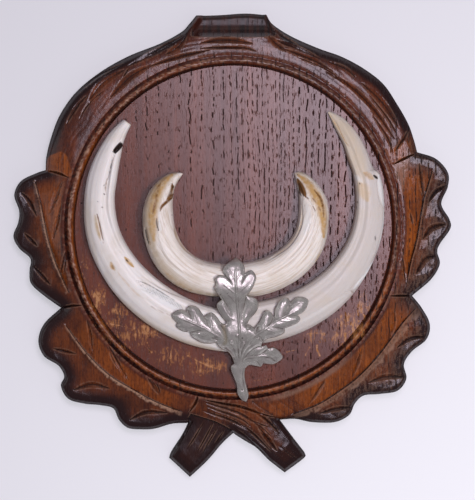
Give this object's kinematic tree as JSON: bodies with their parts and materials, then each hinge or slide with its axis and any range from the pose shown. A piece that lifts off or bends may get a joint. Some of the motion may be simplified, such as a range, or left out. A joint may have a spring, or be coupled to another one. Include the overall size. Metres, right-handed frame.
{
  "type": "boar tusk trophy",
  "caption": "Wild boar tusks set in crescents on a carved oak-leaf shield under a cast metal oak-leaf ornament, as a wall or table trophy.",
  "frame": {"origin": "on the flat back of the shield, under the middle of the ring moulding", "axes": "+Z out of the carved face, +Y towards the crown of the shield, +X to the right as seen from the front"},
  "size_m": [0.2715, 0.2885, 0.0423],
  "materials": {
    "stained_oak": "satin",
    "tusk_ivory": "satin",
    "cast_pewter": "satin"
  },
  "bodies": {
    "root": {"shield_board": "stained_oak", "lower_tusk_left": "tusk_ivory", "lower_tusk_right": "tusk_ivory", "upper_tusk_left": "tusk_ivory", "upper_tusk_right": "tusk_ivory", "oak_leaf_ornament": "cast_pewter"}
  },
  "joints": []
}
